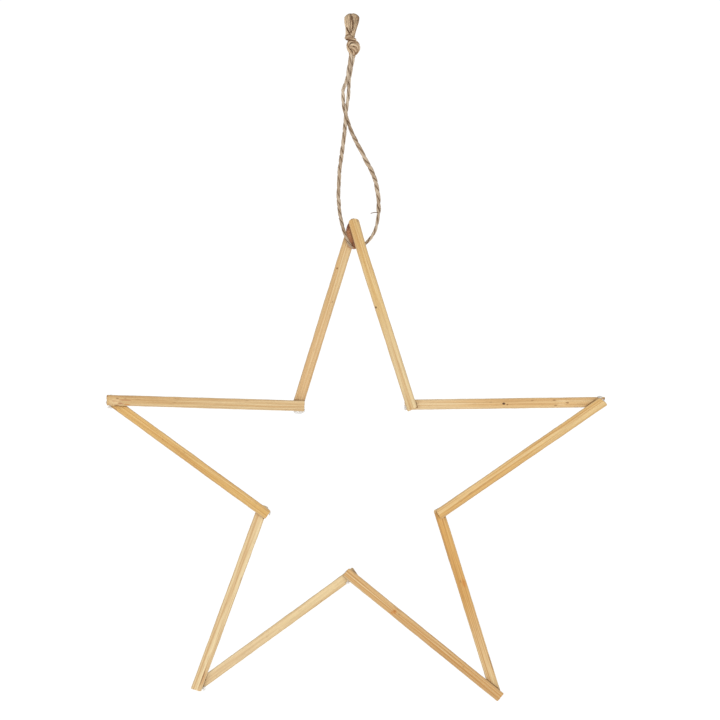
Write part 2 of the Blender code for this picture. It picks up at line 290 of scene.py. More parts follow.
def slat_piece(slat, start, end, seed):
    """A slat between two crossings, with its split edges, ridged faces and hand-cut ends."""
    rng = np.random.default_rng(seed)
    run, span = end - start, (end - start).length
    width = slat.width * MM
    cuts = (slat.start, slat.end)
    reach = [span / 2 + cut.past * MM for cut in cuts]
    rounded = [cut.corner * (1 - np.cos(np.linspace(0, math.pi / 2, 9))) for cut in cuts]
    middle = np.linspace(
        slat.start.corner - reach[0], reach[1] - slat.end.corner, int(sum(reach) / STATION)
    )
    stations = np.concatenate([rounded[0] - reach[0], middle[1:-1], reach[1] - rounded[1][::-1]])

    section = slat_section()
    along = np.repeat(stations[:, None], len(section), 1)
    flat_z, flat_y, round_z, round_y = [
        np.repeat(part[None], len(stations), 0) for part in section.T
    ]
    share = (along + reach[0]) / sum(reach)
    from_ends = [along + reach[0], reach[1] - along]
    half_width = np.full(along.shape, width / 2)
    half_depth = np.full(along.shape, THICKNESS / 2)
    for distance, cut in zip(from_ends, cuts):
        for half_size, radius in ((half_width, cut.corner), (half_depth, EDGE_ROUND)):
            inside = np.clip(radius - distance, 0, radius)
            half_size -= radius - np.sqrt(radius**2 - inside**2)

    # The two edges waver each in their own way, where the strip was split
    edge_side = (1 + np.sign(flat_z + 0.01 * round_z)) / 2
    waver = uneven(rng, edge_side, share, EDGE_WAVER)
    width_share = flat_z * (half_width - EDGE_ROUND) + round_z * EDGE_ROUND
    across = width_share + np.sign(width_share) * waver * np.abs(flat_z) ** 4
    depth = flat_y * (half_depth - EDGE_ROUND) + round_y * EDGE_ROUND

    # The fibres stand up as fine ridges along the faces, and a face is a little hollow
    place = across / width + 0.5
    ridges = uneven(rng, place, share, FACE_RIDGES)
    hollow = FACE_HOLLOW * (1 - np.clip(np.abs(across) / (width / 2), 0, 1) ** 2)
    depth += round_y * (ridges - hollow - FACE_INSET)
    across += round_z * uneven(rng, depth / THICKNESS + 0.5, share, SIDE_RIDGES)

    # A hand-cut end is skewed and splintered
    ragged = uneven(rng, place, np.zeros_like(place), JAGGED_END)
    ragged += uneven(rng, place, depth / THICKNESS + 0.5, END_SPLINTERS)
    for distance, sign, cut in zip(from_ends, (-1, 1), cuts):
        near = 1 - smooth_step(distance / SPLINTERED)
        skewed = across * math.tan(math.radians(cut.skew))
        along = along + sign * near * (skewed + ragged - END_INSET)
        across = across + cut.aside * MM * (1 - smooth_step(distance / BENT_ASIDE))
    rings = np.stack([along, depth + layer_at(slat, along, span) * LAYER_DEPTH, across], 2)

    # Close each end with smaller and smaller rings, and mark them as cut
    caps = []
    for outer, sign in ((rings[0], -1), (rings[-1], 1)):
        centre = outer.mean(0)
        for size in CAP_SIZES:
            ring = centre + (outer - centre) * size
            ring[:, 0] = outer[:, 0] + (centre[0] - outer[:, 0]) * (1 - size) ** 2
            ring[:, 0] += sign * CUT_GRAIN * rng.uniform(-1, 1, len(ring)) * size
            caps.append(ring)
    count = len(CAP_SIZES)
    rings = np.concatenate([caps[:count][::-1], rings, caps[count:]])
    is_cut = [1] * count + [0] * len(stations) + [1] * count
    faces = faces_between_rings(len(rings), len(section))
    masks = {"cut": np.repeat(is_cut, len(section))}
    piece = mesh_object(f"bamboo_{slat.place}", rings.reshape(-1, 3), faces, masks)
    piece.location = (start + end) / 2
    piece.rotation_euler = (0, -math.atan2(run.z, run.x), 0)
    return piece


class Shader:
    """A node tree that is written one line for each node."""

    def __init__(self, tree):
        self.tree = tree

    def put(self, sockets, *inputs):
        for name, value in inputs:
            if isinstance(value, bpy.types.NodeSocket):
                self.tree.links.new(value, sockets[name])
            else:
                sockets[name].default_value = value

    def add(self, kind, *inputs, output=0, **settings):
        node = self.tree.nodes.new(kind)
        for name, value in settings.items():
            setattr(node, name, value)
        self.put(node.inputs, *inputs)
        return node.outputs[output]

    def group(self, tree, *inputs):
        """The outputs of a node group that is placed in this tree."""
        return self.add("ShaderNodeGroup", *inputs, node_tree=tree).node.outputs

    def math(self, operation, first, second=0.0):
        return self.add("ShaderNodeMath", (0, first), (1, second), operation=operation)

    def times(self, first, second):
        return self.math("MULTIPLY", first, second)

    def vector(self, operation, first, second=(0, 0, 0), output=0):
        return self.add(
            "ShaderNodeVectorMath", (0, first), (1, second), operation=operation, output=output
        )

    def mix(self, share, first, second):
        return self.add(
            "ShaderNodeMix", (0, share), (6, first), (7, second), data_type="RGBA", output=2
        )

    def tinted(self, colour, *layers):
        """The colour under layers of tint: each one's mask, its strength and the tint."""
        for mask, strength, tint in layers:
            colour = self.mix(self.times(mask, strength), colour, tint)
        return colour

    def between(self, value, low, high, to_low=0.0, to_high=1.0):
        return self.add(
            "ShaderNodeMapRange",
            ("Value", value), ("From Min", low), ("From Max", high),
            ("To Min", to_low), ("To Max", to_high),
            interpolation_type="SMOOTHSTEP",
        )

    def stretched_noise(self, position, stretch, shift, detail):
        moved = self.vector("ADD", self.vector("MULTIPLY", position, stretch), shift)
        return self.add(
            "ShaderNodeTexNoise",
            ("Vector", moved), ("Scale", 1.0), ("Detail", detail), ("Roughness", 0.55),
        )

    def mask(self, name, output="Fac"):
        """The values of a named mask on the mesh."""
        return self.add("ShaderNodeAttribute", attribute_name=name, output=output)

    def bump(self, height, strength, distance):
        return self.add(
            "ShaderNodeBump", ("Strength", strength), ("Distance", distance), ("Height", height)
        )

    def principled(self, *inputs):
        """Sets the inputs of the material's own Principled BSDF."""
        self.put(self.tree.nodes["Principled BSDF"].inputs, *inputs)


def new_material(name):
    material = bpy.data.materials.new(name)
    material.use_nodes = True
    return material, Shader(material.node_tree)


def shader_group(name, vectors, values, results):
    """An empty node group with named sockets: its shader writer, its inputs and its outputs."""
    tree = bpy.data.node_groups.new(name, "ShaderNodeTree")
    for names, way, kind in (
        (vectors, "INPUT", "Vector"), (values, "INPUT", "Float"), (results, "OUTPUT", "Float")
    ):
        for socket in names.split():
            tree.interface.new_socket(socket, in_out=way, socket_type=f"NodeSocket{kind}")
    given = tree.nodes.new("NodeGroupInput").outputs
    return Shader(tree), given, tree.nodes.new("NodeGroupOutput").inputs


def fibre_group(name, vector, values, layers, heights):
    """A group of stretched noises as masks: each one's name, stretch, shift, detail, and lower and
    upper limit. A shift that isn't given follows the seed. The heights are shares of two masks."""
    results = " ".join(layer[0] for layer in layers)
    shader, given, result = shader_group(name, vector, values, f"{results} Height")
    masks = {}
    for mask, stretch, shift, detail, low, high in layers:
        if shift is None:
            steps = zip("XYZ", SEED_STEPS)
            moves = [(axis, shader.times(given["Seed"], step)) for axis, step in steps]
            shift = shader.add("ShaderNodeCombineXYZ", *moves)
        noise = shader.stretched_noise(given[vector], stretch, shift, detail)
        masks[mask] = shader.between(noise, low, high)
    height = shader.math("ADD", *[shader.times(masks[mask], share) for mask, share in heights])
    shader.put(result, *masks.items(), ("Height", height))
    return shader.tree


def soft_spot_group():
    """An oval spot with a soft, broken edge, for a fleck, a scorch mark, a stained patch or a patch
    of painted shade.
    """
    shader, given, result = shader_group("Soft spot", "Position Centre Size", "Raggedness", "Spot")
    apart = shader.vector("SUBTRACT", given["Position"], given["Centre"])
    shares = shader.vector("DIVIDE", apart, given["Size"])
    distance = shader.vector("LENGTH", shares, output="Value")
    broken = shader.stretched_noise(given["Position"], (900, 900, 2600), (3.1, 0.4, 1.7), 2.0)
    broken = shader.times(shader.math("SUBTRACT", broken, 0.5), given["Raggedness"])
    spot = shader.between(shader.math("ADD", distance, broken), 1.15, 0.45)
    shader.put(result, ("Spot", spot))
    return shader.tree


def joint_shadow_group():
    """A thin line of painted shadow on the rear slat, along an edge of the slat that is glued over
    it.
    """
    shader, given, result = shader_group(
        "Joint shadow", "Position Crossing Along Across", "Edge From To", "Line"
    )
    apart = shader.vector("SUBTRACT", given["Position"], given["Crossing"])
    along = shader.vector("DOT_PRODUCT", apart, given["Along"], output="Value")
    across = shader.vector("DOT_PRODUCT", apart, given["Across"], output="Value")
    outside = shader.math("SUBTRACT", across, given["Edge"])
    broken = shader.stretched_noise(given["Position"], (700, 700, 700), (2.2, 0.1, 6.4), 2.0)
    reach = shader.between(broken, 0.3, 0.7, 0.4 * MM, 0.9 * MM)
    line = shader.between(shader.math("DIVIDE", outside, reach), 1.0, 0.3)
    # Not deep under the slat above, not past the line's two ends, and not on the slat's back
    depth = shader.add("ShaderNodeSeparateXYZ", ("Vector", given["Position"]), output="Y")
    for limit in (
        shader.math("GREATER_THAN", outside, -0.6 * MM),
        shader.between(shader.math("SUBTRACT", along, given["From"]), -0.4 * MM, 0.4 * MM),
        shader.between(shader.math("SUBTRACT", given["To"], along), -0.4 * MM, 0.4 * MM),
        shader.math("LESS_THAN", depth, LAYER_DEPTH),
    ):
        line = shader.times(line, limit)
    shader.put(result, ("Line", line))
    return shader.tree


SEED_STEPS = (7.31, 3.17, 11.9)  # how far the noise moves on from one slat to the next
BAMBOO_LAYERS = (
    ("Bands", (9, 300, 860), None, 2.0, 0.4, 0.6),
    ("Lines", (16, 500, 1450), None, 1.0, 0.5, 0.62),
    ("Fibres", (36, 900, 2900), None, 2.0, 0.3, 0.7),
    ("Dashes", (170, 800, 2300), None, 1.0, 0.64, 0.76),
)
bamboo_grain = fibre_group(
    "Bamboo grain", "Position", "Seed", BAMBOO_LAYERS, (("Fibres", 0.7), ("Bands", 0.3))
)
joint_shadow = joint_shadow_group()
soft_spot = soft_spot_group()
SPOT_HALF_DEPTH = 1.8 * MM
TONE_CHANGE = 18 * MM  # half the length over which a slat's tone changes


def bamboo_material(slat, span, seed, joint_shadows):
    material, shader = new_material(f"Bamboo {slat.place.replace('_', ' ')}")
    position = shader.add("ShaderNodeTexCoord", output="Object")
    grain = shader.group(bamboo_grain, ("Position", position), ("Seed", seed))
    xyz = shader.add("ShaderNodeSeparateXYZ", ("Vector", position)).node.outputs

    # The slat's tone drifts from one end to the other
    first, second, change_share = slat.tones
    change = (change_share - 0.5) * span + 0.01
    drift = shader.math("ADD", xyz["X"], shader.times(grain["Bands"], 0.02))
    drift = shader.between(drift, change - TONE_CHANGE, change + TONE_CHANGE)
    half = slat.width * MM / 2
    # Painted shade darkens and greys each slat towards its two long edges
    edge_shade = shader.between(
        shader.math("ABSOLUTE", xyz["Z"]), half - 1.1 * MM, half - 0.1 * MM
    )
    colour = shader.tinted(
        shader.mix(drift, paint(*first), paint(*second)),
        (grain["Bands"], 0.3 * slat.streak, TAN_STREAK),
        (shader.between(grain["Bands"], 0.4, 0.0), 0.3, PALE_FIBRE),
        (grain["Lines"], 0.62 * slat.streak, DARK_LINE),
        (shader.between(grain["Fibres"], 0.5, 1.0), 0.16, FLECK),
        (grain["Dashes"], 0.22, FLECK),
        (edge_shade, 0.55, EDGE_SHADE),
    )
    for x, z, size_x, size_z, strength, *own_tint in slat.flecks:
        front_face = layer_at(slat, x * MM, span) * LAYER_DEPTH - THICKNESS / 2
        spot = shader.group(
            soft_spot,
            ("Position", position),
            ("Centre", (x * MM, front_face, z * MM)),
            ("Size", (size_x / 2 * MM, SPOT_HALF_DEPTH, size_z / 2 * MM)),
            ("Raggedness", 0.9),
        )
        colour = shader.tinted(colour, (spot["Spot"], strength, *(own_tint or [FLECK])))

    # Painted shadow darkens the rear slat along the one that is glued over it
    for crossing, along, across, edge, begin, finish, strength in joint_shadows:
        line = shader.group(
            joint_shadow,
            ("Position", position), ("Crossing", crossing), ("Along", along), ("Across", across),
            ("Edge", edge), ("From", begin * MM), ("To", finish * MM),
        )
        colour = shader.tinted(colour, (line["Line"], strength, JOINT_SHADOW))

    pores = shader.stretched_noise(position, (100, 2600, 2600), (0.3, 0.7, seed), 1.0)
    cut_end = shader.mix(shader.between(pores, 0.5, 0.62), CUT_END, FLECK)
    shader.principled(
        ("Base Color", shader.tinted(colour, (shader.mask("cut"), 0.8, cut_end))),
        ("Roughness", shader.between(grain["Fibres"], 0.0, 1.0, 0.46, 0.64)),
        ("Specular IOR Level", 0.35),
        ("Normal", shader.bump(grain["Height"], 0.5, 0.12 * MM)),
    )
    return material


# Painted shadow lines at each crossing, on the rear slat: the side of the front slat that they
# follow (1 on the outside of the star, -1 on the inside, 0 along its cut end), from and to in
# millimetres along the front slat from the crossing, and strength
JOINT_SHADOWS = (
    ((-1, -2, 13, 0.45),),
    ((1, -0.4, 2.9, 1.0),),
    ((-1, 2.3, 9.5, 0.9),),
    ((1, -2.6, -0.6, 0.8), (0, -2.6, 1.8, 0.8)),
    ((-1, -0.5, 10, 0.85),),
    ((1, -3.2, 3.4, 0.4),),
    ((-1, -0.5, 9, 0.5), (-1, 5.0, 6.2, 0.9)),
    ((1, -5, 5, 0.2), (1, -4.8, -3.2, 0.8)),
    ((-1, 2.5, 12, 0.35), (-1, 5.5, 10.2, 0.8)),
    ((1, -2.8, 4.8, 0.8),),
)


def shadows_on(slat, index, piece, half_span):
    """The painted shadow lines at a slat's two ends, in its own frame, where it lies under another.
    """
    found = []
    following = (index + 1) % len(SLATS)
    for own, crossing, neighbour, x in (
        (slat.start, index, index - 1, -half_span), (slat.end, following, following, half_span)
    ):
        if own.layer == FRONT:
            continue
        over = SLATS[neighbour]
        run = (places[(neighbour + 1) % len(SLATS)] - places[neighbour]).normalized()
        along = piece.rotation_euler.to_matrix().inverted() @ run
        across = Vector((-along.z, 0, along.x))
        for side, *stretch in JOINT_SHADOWS[crossing]:
            if side:
                found.append(((x, 0, 0), along, side * across, over.width * MM / 2, *stretch))
            else:
                found.append(((x, 0, 0), across, along, over.end.past * MM, *stretch))
    return found


places = crossing_places()
for index, slat in enumerate(SLATS):
    start, end = places[index], places[(index + 1) % len(places)]
    piece = slat_piece(slat, start, end, 100 + index)
    half_span = (end - start).length / 2
    lines = shadows_on(slat, index, piece, half_span)
    piece.data.materials.append(bamboo_material(slat, 2 * half_span, 1.0 + index, lines))
    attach(piece, "root")
    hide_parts(f"slat_{slat.place}")

# The glue
# Clear hot glue was pressed out between the slats at each crossing. It fills the thin gap between
# them, and set as greyish beads along the edges and in the corners of the joints.

# Beads: millimetres across, back and up from the hang point, half sizes, and lean in degrees
Bead = namedtuple("Bead", "x y z wide deep high lean", defaults=(0,))
# Each joint's name, the radius of its film in millimetres, and its beads
GLUE_JOINTS = (
    (
        "top_point", 2.3,
        (
            # These two beads fill the crotch of the top point and carry its painted shade
            Bead(3.6, 0.3, -70.6, 1.2, 1, 1.9), Bead(3.5, 0.2, -68.8, 0.9, 0.8, 1.6),
            Bead(-0.1, 0.6, -59.9, 0.8, 0.8, 3, 17),
        ),
    ),
    ("upper_right_corner", 2.3, (Bead(34.7, 0.2, -167.8, 0.9, 0.8, 2.1, 12),)),
    ("right_point", 1.9, (Bead(151, 0.1, -161.7, 1.6, 0.7, 0.7),)),
    ("lower_right_corner", 1.1, (Bead(54, 0, -229, 1.3, 0.8, 0.7, -30),)),
    ("lower_right_point", 1.9, ()),
    (
        "bottom_corner", 2.3,
        (
            Bead(-1, 0.2, -266.6, 0.6, 0.7, 1.8, 45),
            Bead(-0.3, 0, -273.2, 1.2, 0.8, 0.7),
        ),
    ),
    ("lower_left_point", 2.1, (Bead(-86.3, -0.1, -336.5, 0.9, 0.8, 1.4, 20),)),
    (
        "lower_left_corner", 2.3,
        (Bead(-48.9, 0, -228.6, 2, 0.8, 0.7, 35), Bead(-47, 0.2, -231.3, 0.5, 0.8, 1.7)),
    ),
    (
        "left_point", 1.9,
        (
            Bead(-142.9, 0.1, -168.1, 1.5, 0.8, 0.7, 10), Bead(-142.3, 0.1, -160.7, 0.8, 0.6, 0.5),
            Bead(-144.9, 0.1, -165.1, 0.5, 0.6, 0.8),
        ),
    ),
    (
        "upper_left_corner", 2.3,
        (Bead(-29.6, 0.2, -170.3, 3.2, 1, 1.5), Bead(-27.4, 0.2, -169.6, 1.5, 1, 1.5)),
    ),
)
FILM_HALF_DEPTH = 0.24 * MM
GLUE_GRAIN = 0.14 * MM  # the size of the cells that the lumps are made smooth from
NECK_HALF_DEPTH, NECK_HALF_WIDTH = 0.2 * MM, 0.7 * MM
OVAL_STACKS, OVAL_SIDES = 12, 20


def oval(centre, half_sizes, lean, rng):
    """A closed, slightly uneven oval as points and faces."""
    down = np.linspace(0, math.pi, OVAL_STACKS + 1)[1:-1]
    around = np.linspace(0, 2 * math.pi, OVAL_SIDES, endpoint=False)
    rings = [
        (math.sin(a) * math.cos(b), math.sin(a) * math.sin(b), math.cos(a))
        for a in down for b in around
    ]
    ball = np.array([(0, 0, 1), *rings, (0, 0, -1)])
    ball *= 1 + 0.01 * rng.uniform(-1, 1, (len(ball), 1))
    turn = Matrix.Rotation(math.radians(lean), 3, "Y")
    points = [Vector(centre) + turn @ Vector(point * half_sizes) for point in ball]
    last_ring, last = 1 + (len(down) - 1) * OVAL_SIDES, len(points) - 1
    faces = []
    for k in range(OVAL_SIDES):
        following = (k + 1) % OVAL_SIDES
        faces.append((0, 1 + k, 1 + following))
        for low in range(1, last_ring, OVAL_SIDES):
            below = low + OVAL_SIDES
            faces.append((low + k, below + k, below + following, low + following))
        faces.append((last_ring + k, last, last_ring + following))
    return points, faces


def joined(parts):
    """The points, the faces and the masks of several parts as those of one."""
    points, faces, masks = [], [], {}
    for more_points, more_faces, more_masks in parts:
        faces += [tuple(len(points) + corner for corner in face) for face in more_faces]
        points += list(more_points)
        for mask, values in more_masks.items():
            masks.setdefault(mask, []).append(values)
    return points, faces, {mask: np.concatenate(values) for mask, values in masks.items()}


def glue_piece(name, crossing, film_radius, beads, rng):
    """The film and the beads of one joint, run together into one smooth lump."""
    ovals = [(crossing, (film_radius, FILM_HALF_DEPTH, film_radius), 0)]
    for bead in beads:
        centre = Vector((bead.x, bead.y, bead.z)) * MM
        ovals.append((centre, np.array((bead.wide, bead.deep, bead.high)) * MM, bead.lean))
        # A thin neck of glue leads from the film to the bead
        reach = (centre - crossing).length / 2
        tilt = math.degrees(math.atan2(crossing.z - centre.z, centre.x - crossing.x))
        neck = (reach, NECK_HALF_DEPTH, NECK_HALF_WIDTH)
        ovals.append((crossing.lerp(centre, 0.5), neck, tilt))
    parts = [(*oval(centre, np.array(sizes), lean, rng), {}) for centre, sizes, lean in ovals]
    piece = mesh_object(name, *joined(parts))
    remesh = piece.modifiers.new("Run together", "REMESH")
    remesh.mode, remesh.voxel_size = "VOXEL", GLUE_GRAIN
    settle = piece.modifiers.new("Settle", "SMOOTH")
    settle.factor, settle.iterations = 0.6, 8
    graph = bpy.context.evaluated_depsgraph_get()
    smooth = bpy.data.meshes.new_from_object(piece.evaluated_get(graph))
    piece.modifiers.clear()
    piece.data = smooth
    smooth.shade_smooth()
    return piece


def glue_material(name, clear, milky, rim_shade, see_through):
    material, shader = new_material(name)
    position = shader.add("ShaderNodeTexCoord", output="Object")
    cloud = shader.stretched_noise(position, (500, 500, 500), (1.3, 0.2, 4.1), 2.0)
    away = shader.add("ShaderNodeLayerWeight", ("Blend", 0.5), output="Facing")
    colour = shader.tinted(
        clear,
        (shader.between(cloud, 0.35, 0.68), 1.0, milky),
        # Painted shade darkens the glue where its surface turns away
        (shader.between(away, 0.3, 0.85), 0.95, rim_shade),  # darker where its surface turns away
    )
    shader.principled(
        ("Base Color", colour),
        ("Roughness", shader.between(cloud, 0.3, 0.7, 0.2, 0.4)),
        ("Transmission Weight", see_through),
        ("IOR", 1.49),
        ("Normal", shader.bump(cloud, 0.12, 0.05 * MM)),
    )
    return material


# the colour of the painted shade at the edges of the glue
GLUE_RIM_SHADE = paint(142, 136, 130)
CLEAR, MILKY = paint(250, 249, 246), paint(236, 233, 228)
# The glue at the top point is reddish brown: partly stained, partly painted shade where it fills
# the crotch between the slats round the twine
PALE_STAIN_SHADE, DARK_STAIN_SHADE = paint(168, 108, 72), paint(128, 78, 50)
clear_glue = glue_material("Clear glue", CLEAR, MILKY, GLUE_RIM_SHADE, 0.3)
stained_shaded_glue = glue_material("Stained and shaded glue", PALE_STAIN_SHADE, DARK_STAIN_SHADE, RED_STAIN_AND_SHADE, 0.1)
for index, (joint, film_radius, beads) in enumerate(GLUE_JOINTS):
    rng = np.random.default_rng(300 + index)
    piece = glue_piece(f"glue_{joint}", places[index], film_radius * MM, beads, rng)
    piece.data.materials.append(stained_shaded_glue if joint == "top_point" else clear_glue)
    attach(piece, "root")

# The knot
# The twine is two-ply natural jute about 2 mm thick. Both strands are tied together in an overhand
# knot, and a turn of twine is wrapped round the neck above it.

TWINE_DIAMETER = 2.1 * MM
PLY_TURN = 13 * MM  # the length in which the two plies go once round each other
PLY_CENTRE = 0.24  # from the strand's centreline, in twine diameters
PLY_HALF_DEPTH, PLY_HALF_WIDTH = 0.30, 0.42  # in twine diameters
PLY_SIDES = 22
TWINE_STATION = 0.42 * MM
THICKNESS_WAVER = ((0.10, 11 * MM), (0.06, 3.1 * MM))  # shares, and the spacing of each waver
# Ridges of fibre on a ply: height as a share, how many there are round it, and how far they stray
# to the side and in what spacing
PLY_RIDGES = ((0.05, 5, 2, 4 * MM), (0.035, 9, 3, 2.3 * MM))
TURN_WAVER, TONE_WAVER = 9 * MM, 7 * MM  # the spacing in which the twist and the tone vary


def smooth_line(route, step):
    """Evenly spaced points on the smooth curve through a route that is given in millimetres."""
    route = np.array(route) * MM
    padded = np.concatenate([[2 * route[0] - route[1]], route, [2 * route[-1] - route[-2]]])
    pieces = [route[:1]]
    share = np.linspace(0, 1, 25)[1:, None]
    for before, start, end, after in zip(padded, padded[1:], padded[2:], padded[3:]):
        bend = 2 * before - 5 * start + 4 * end - after
        twist = 3 * start - before - 3 * end + after
        pieces.append((2 * start + (end - before) * share + bend * share**2 + twist * share**3) / 2)
    line = np.concatenate(pieces)
    lengths = np.concatenate([[0], np.cumsum(np.linalg.norm(np.diff(line, axis=0), axis=1))])
    even = np.linspace(0, lengths[-1], max(2, round(lengths[-1] / step) + 1))
    return np.stack([np.interp(even, lengths, line[:, axis]) for axis in range(3)], 1)


def line_frames(line):
    """Directions along a line and across it that don't turn round it."""
    ahead = np.gradient(line, axis=0)
    ahead /= np.linalg.norm(ahead, axis=1, keepdims=True)
    side = np.cross(ahead[0], (0.02, 1, 0.05))
    aside = np.empty_like(ahead)
    for index, direction in enumerate(ahead):
        side = side - direction * (side @ direction)
        side = side / np.linalg.norm(side)
        aside[index] = side
    return ahead, aside, np.cross(ahead, aside)


def wander(rng, along, spacing):
    """Smooth noise from -1 to 1 along a line, with a new value each spacing."""
    marks = along / spacing + rng.uniform(0, 1)
    values = rng.uniform(-1, 1, int(marks.max()) + 2)
    low = np.floor(marks).astype(int)
    step = smooth_step(marks - low)
    return values[low] * (1 - step) + values[low + 1] * step


def strand_parts(line, rng, diameter=TWINE_DIAMETER, phase=0.0, squeeze=1.0, uneven_turn=0.5):
    """The two plies of a strand that follows a line: points, faces and masks. The squeeze is the
    share of its thickness that is left, at each point of the line."""
    ahead, aside, other = [way[:, None] for way in line_frames(line)]
    along = np.arange(len(line)) * np.linalg.norm(line[1] - line[0])
    turn = phase - 2 * math.pi * along / PLY_TURN + uneven_turn * wander(rng, along, TURN_WAVER)
    around = np.linspace(0, 2 * math.pi, PLY_SIDES, endpoint=False)[None]
    # Each end is drawn in to a point
    from_end = np.minimum(np.arange(len(line)), np.arange(len(line))[::-1])
    shrink = np.clip((from_end + 0.4) / 2.4, 0, 1)[:, None, None] ** 0.5
    parts = []
    for ply in (0, 1):
        angle = (turn + ply * math.pi)[:, None]
        thick = 1 + sum(share * wander(rng, along, spacing) for share, spacing in THICKNESS_WAVER)
        thick = (thick * squeeze)[:, None] * diameter
        fibre = around + 1.2 * angle  # the fibres lie almost straight along the strand
        relief = 1
        for share, count, stray, spacing in PLY_RIDGES:
            aslant = stray * wander(rng, along, spacing)[:, None]
            relief = relief + share * np.sin(count * fibre + aslant)
        out = (PLY_CENTRE + PLY_HALF_DEPTH * relief * np.cos(around)) * thick
        sideways = PLY_HALF_WIDTH * relief * np.sin(around) * thick
        cosine, sine = np.cos(angle)[..., None], np.sin(angle)[..., None]
        ring = out[..., None] * (cosine * aside + sine * other)
        ring += sideways[..., None] * (cosine * other - sine * aside)
        points = (line[:, None] + ring * shrink).reshape(-1, 3)
        lie = (along[:, None], np.mod(fibre, 2 * math.pi) * diameter * 0.3, ply + 1.0)
        # Painted shade on the side of each ply that faces the other one
        groove_shade = smooth_step((0.35 - np.cos(around)) / 0.9)
        tone = wander(rng, along, TONE_WAVER)[:, None]
        masks = {
            "lie": np.stack(np.broadcast_arrays(*lie), 2).reshape(-1, 3),
            "groove_shade": np.broadcast_to(groove_shade, fibre.shape).ravel(),
            "tone": np.broadcast_to(tone, fibre.shape).ravel(),
        }
        parts.append((points, faces_between_rings(len(line), PLY_SIDES), masks))
    return joined(parts)


def hair_parts(line, radius, rng, sides=5, taper=0.5):
    """One thin fibre that follows a line and thins towards its tip."""
    ahead, aside, other = [way[:, None] for way in line_frames(line)]
    around = np.linspace(0, 2 * math.pi, sides, endpoint=False)
    thin = radius * (1 - taper * np.linspace(0, 1, len(line)) ** 2)[:, None, None]
    thin[-1] *= 0.35
    ring = np.cos(around)[:, None] * aside + np.sin(around)[:, None] * other
    along = np.arange(len(line)) * np.linalg.norm(line[1] - line[0])
    count = len(line) * sides
    place = rng.uniform(0, 9)
    masks = {
        "lie": np.stack(
            [np.repeat(along, sides), np.tile(around * radius, len(line)), np.full(count, place)], 1
        ),
        "groove_shade": np.full(count, 0.12),
        "tone": np.full(count, rng.uniform(-1, 1)),
    }
    points = (line[:, None] + ring * thin).reshape(-1, 3)
    return points, faces_between_rings(len(line), sides), masks


DEEP_JUTE = paint(92, 62, 40)
# The middle, the palest and the darkest tint of the fibres
NATURAL_TINTS = (paint(187, 164, 137), paint(226, 208, 183), paint(120, 90, 62))
WARM_TINTS = (paint(203, 176, 142), paint(240, 218, 185), paint(132, 94, 61))
JUTE_LAYERS = (
    ("Strands", (130, 2100, 1), (0.2, 0.9, 5.3), 1.0, 0.34, 0.66),
    ("Fibres", (260, 7000, 1), (4.1, 0.3, 1.9), 1.0, 0.3, 0.7),
    ("Specks", (700, 2600, 1), (7.7, 2.3, 0.4), 1.0, 0.66, 0.74),
)
jute_fibres = fibre_group(
    "Jute fibres", "Lie", "", JUTE_LAYERS, (("Fibres", 0.6), ("Strands", 0.4))
)
# Reddish brown where the twine passes between the slats at the star's top point: stained, and
# painted shade
STAIN_AND_SHADE_CENTRE = (4.0 * MM, 0.3 * MM, -72.0 * MM)
STAIN_AND_SHADE_SIZE = (2.6 * MM, 2.6 * MM, 2.4 * MM)


def jute_material(name, tints=NATURAL_TINTS, darker=0.0, specks=0.4, bumpy=0.7, fine=0.45):
    middle, pale, dark = tints
    material, shader = new_material(name)
    fibre = shader.group(jute_fibres, ("Lie", shader.mask("lie", "Vector")))
    groove_shade, tone = shader.mask("groove_shade"), shader.mask("tone")
    position = shader.add("ShaderNodeTexCoord", output="Object")
    stain_and_shade = shader.group(
        soft_spot,
        ("Position", position), ("Centre", STAIN_AND_SHADE_CENTRE), ("Size", STAIN_AND_SHADE_SIZE),
        ("Raggedness", 0.5),
    )
    colour = shader.tinted(
        middle,
        (shader.between(tone, 0.1, 1.6), 0.8, pale),
        (shader.between(tone, 0.0, -1.6), 0.9, dark),
        (fibre["Strands"], 0.55, pale),
        (fibre["Fibres"], fine, dark),
        (fibre["Specks"], specks, DEEP_JUTE),
        # Painted shade in the grooves between plies and in the crevices between strands
        (shader.between(groove_shade, 0.0, 1.0), 0.64, dark),
        (shader.between(groove_shade, 1.0, 1.5), 0.75, DEEP_JUTE),
        (1.0, darker, DEEP_JUTE),
        # Reddish brown at the star's top point: partly stained, partly painted shade between the
        # slats
        (stain_and_shade["Spot"], 0.8, RED_STAIN_AND_SHADE),
    )
    shader.principled(
        ("Base Color", colour),
        ("Roughness", shader.between(fibre["Fibres"], 0.0, 1.0, 0.72, 0.92)),
        ("Specular IOR Level", 0.25),
        ("Normal", shader.bump(fibre["Height"], bumpy, 0.12 * MM)),
    )
    return material


